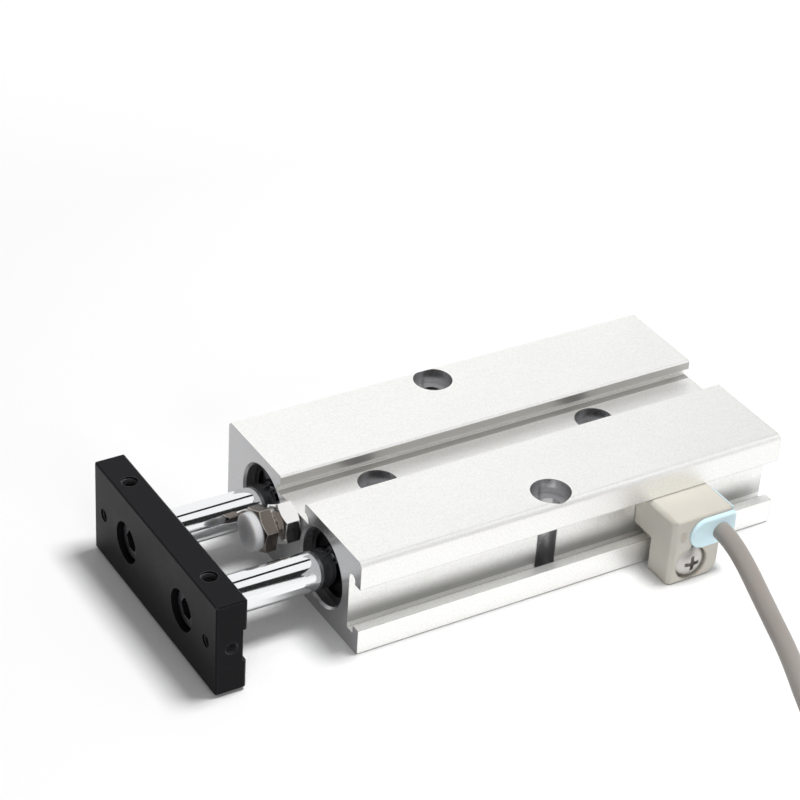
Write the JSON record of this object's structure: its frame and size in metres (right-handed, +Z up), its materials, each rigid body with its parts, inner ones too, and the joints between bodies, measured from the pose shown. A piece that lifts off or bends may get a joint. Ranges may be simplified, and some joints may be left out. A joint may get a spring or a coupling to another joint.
{
  "type": "guided pneumatic cylinder",
  "caption": "Flat air cylinder with twin guided rods joined by an end plate, an adjustable padded stop bolt, and a position sensor on its side rail.",
  "frame": {"origin": "middle of the line through the two side mounting holes, on the bottom mounting face", "axes": "+Z up from the mounting face, -Y the way the rods leave the body, +X towards the sensor rail"},
  "size_m": [0.1762, 0.1502, 0.0216],
  "materials": {
    "body": "fine bead-blasted and clear anodised, with milled end faces",
    "cover": "black anodised",
    "seal": "moulded",
    "spring_steel": "phosphated spring steel",
    "bush": "sintered bronze",
    "bumper": "moulded polyurethane",
    "chrome_rod": "hard chromed and polished",
    "piston": "turned",
    "wear": "filled acetal",
    "magnet": "plastic-bonded ferrite",
    "zinc_steel": "nickel plated",
    "plate": "satin black anodised with bright edges",
    "screw": "black oxide",
    "stop_metal": "nickel plated",
    "pad": "translucent polyurethane",
    "sensor_case": "moulded",
    "boot": "soft moulding",
    "window": "clear moulding",
    "board": "soldered circuit board",
    "cable": "soft sheath",
    "tie": "moulded strap",
    "leads": "insulated wire"
  },
  "bodies": {
    "cylinder_body": {"body_block": "body", "rod_cover_left": "cover", "rod_cover_right": "cover", "guide_bush_left": "bush", "guide_bush_right": "bush", "rod_seal_left": "seal", "rod_seal_right": "seal", "cover_o_ring_left": "seal", "cover_o_ring_right": "seal", "front_retaining_ring_left": "spring_steel", "front_retaining_ring_right": "spring_steel", "front_bumper_left": "bumper", "front_bumper_right": "bumper", "rear_bumper_left": "bumper", "rear_bumper_right": "bumper", "rear_cover_left": "cover", "rear_cover_right": "cover", "rear_o_ring_left": "seal", "rear_o_ring_right": "seal", "rear_retaining_ring_left": "spring_steel", "rear_retaining_ring_right": "spring_steel", "stop_lock_nut": "stop_metal"},
    "rod_carriage": {"end_plate": "plate", "rod_left": "chrome_rod", "rod_right": "chrome_rod", "piston_left": "piston", "piston_right": "piston", "piston_seal_1_left": "seal", "piston_seal_1_right": "seal", "piston_seal_2_left": "seal", "piston_seal_2_right": "seal", "wear_ring_left": "wear", "wear_ring_right": "wear", "piston_magnet_left": "magnet", "piston_magnet_right": "magnet", "piston_nut_left": "zinc_steel", "piston_nut_right": "zinc_steel", "plate_screw_left": "screw", "plate_screw_right": "screw"},
    "stop_pad": {"stop_pad": "pad"},
    "stop_bolt": {"stop_bolt": "stop_metal"},
    "sensor": {"sensor_housing": "sensor_case", "cable_boot": "boot", "lamp_window": "window", "sensor_board": "board", "clamp_nut": "zinc_steel", "sensor_cable": "cable", "cable_coil": "cable", "cable_tie": "tie", "cable_leads": "leads"},
    "clamp_screw": {"clamp_screw": "zinc_steel"}
  },
  "joints": [
    {"name": "plate_slide", "type": "slide", "parent": "cylinder_body", "child": "rod_carriage", "axis": [0, -1, 0], "range_m": [-0.0124, 0.0261]},
    {"name": "stop_travel", "type": "slide", "parent": "cylinder_body", "child": "stop_pad", "axis": [0, -1, 0], "range_m": [-0.0015, 0]},
    {"name": "stop_turn", "type": "hinge", "parent": "stop_pad", "child": "stop_bolt", "pos_m": [0, -0.0536, 0.0145], "axis": [0, -1, 0], "range_deg": [-680, 5]},
    {"name": "sensor_slide", "type": "slide", "parent": "cylinder_body", "child": "sensor", "axis": [0, 1, 0], "range_m": [-0.0648, 0.016]},
    {"name": "clamp_screw_turn", "type": "hinge", "parent": "sensor", "child": "clamp_screw", "pos_m": [0.03, 0.0267, 0.0042], "axis": [1, 0, 0], "range_deg": [0, 720]}
  ],
  "couplings": [
    {"joint": "stop_turn", "follows": "stop_travel", "rad_per_m": 7854}
  ]
}
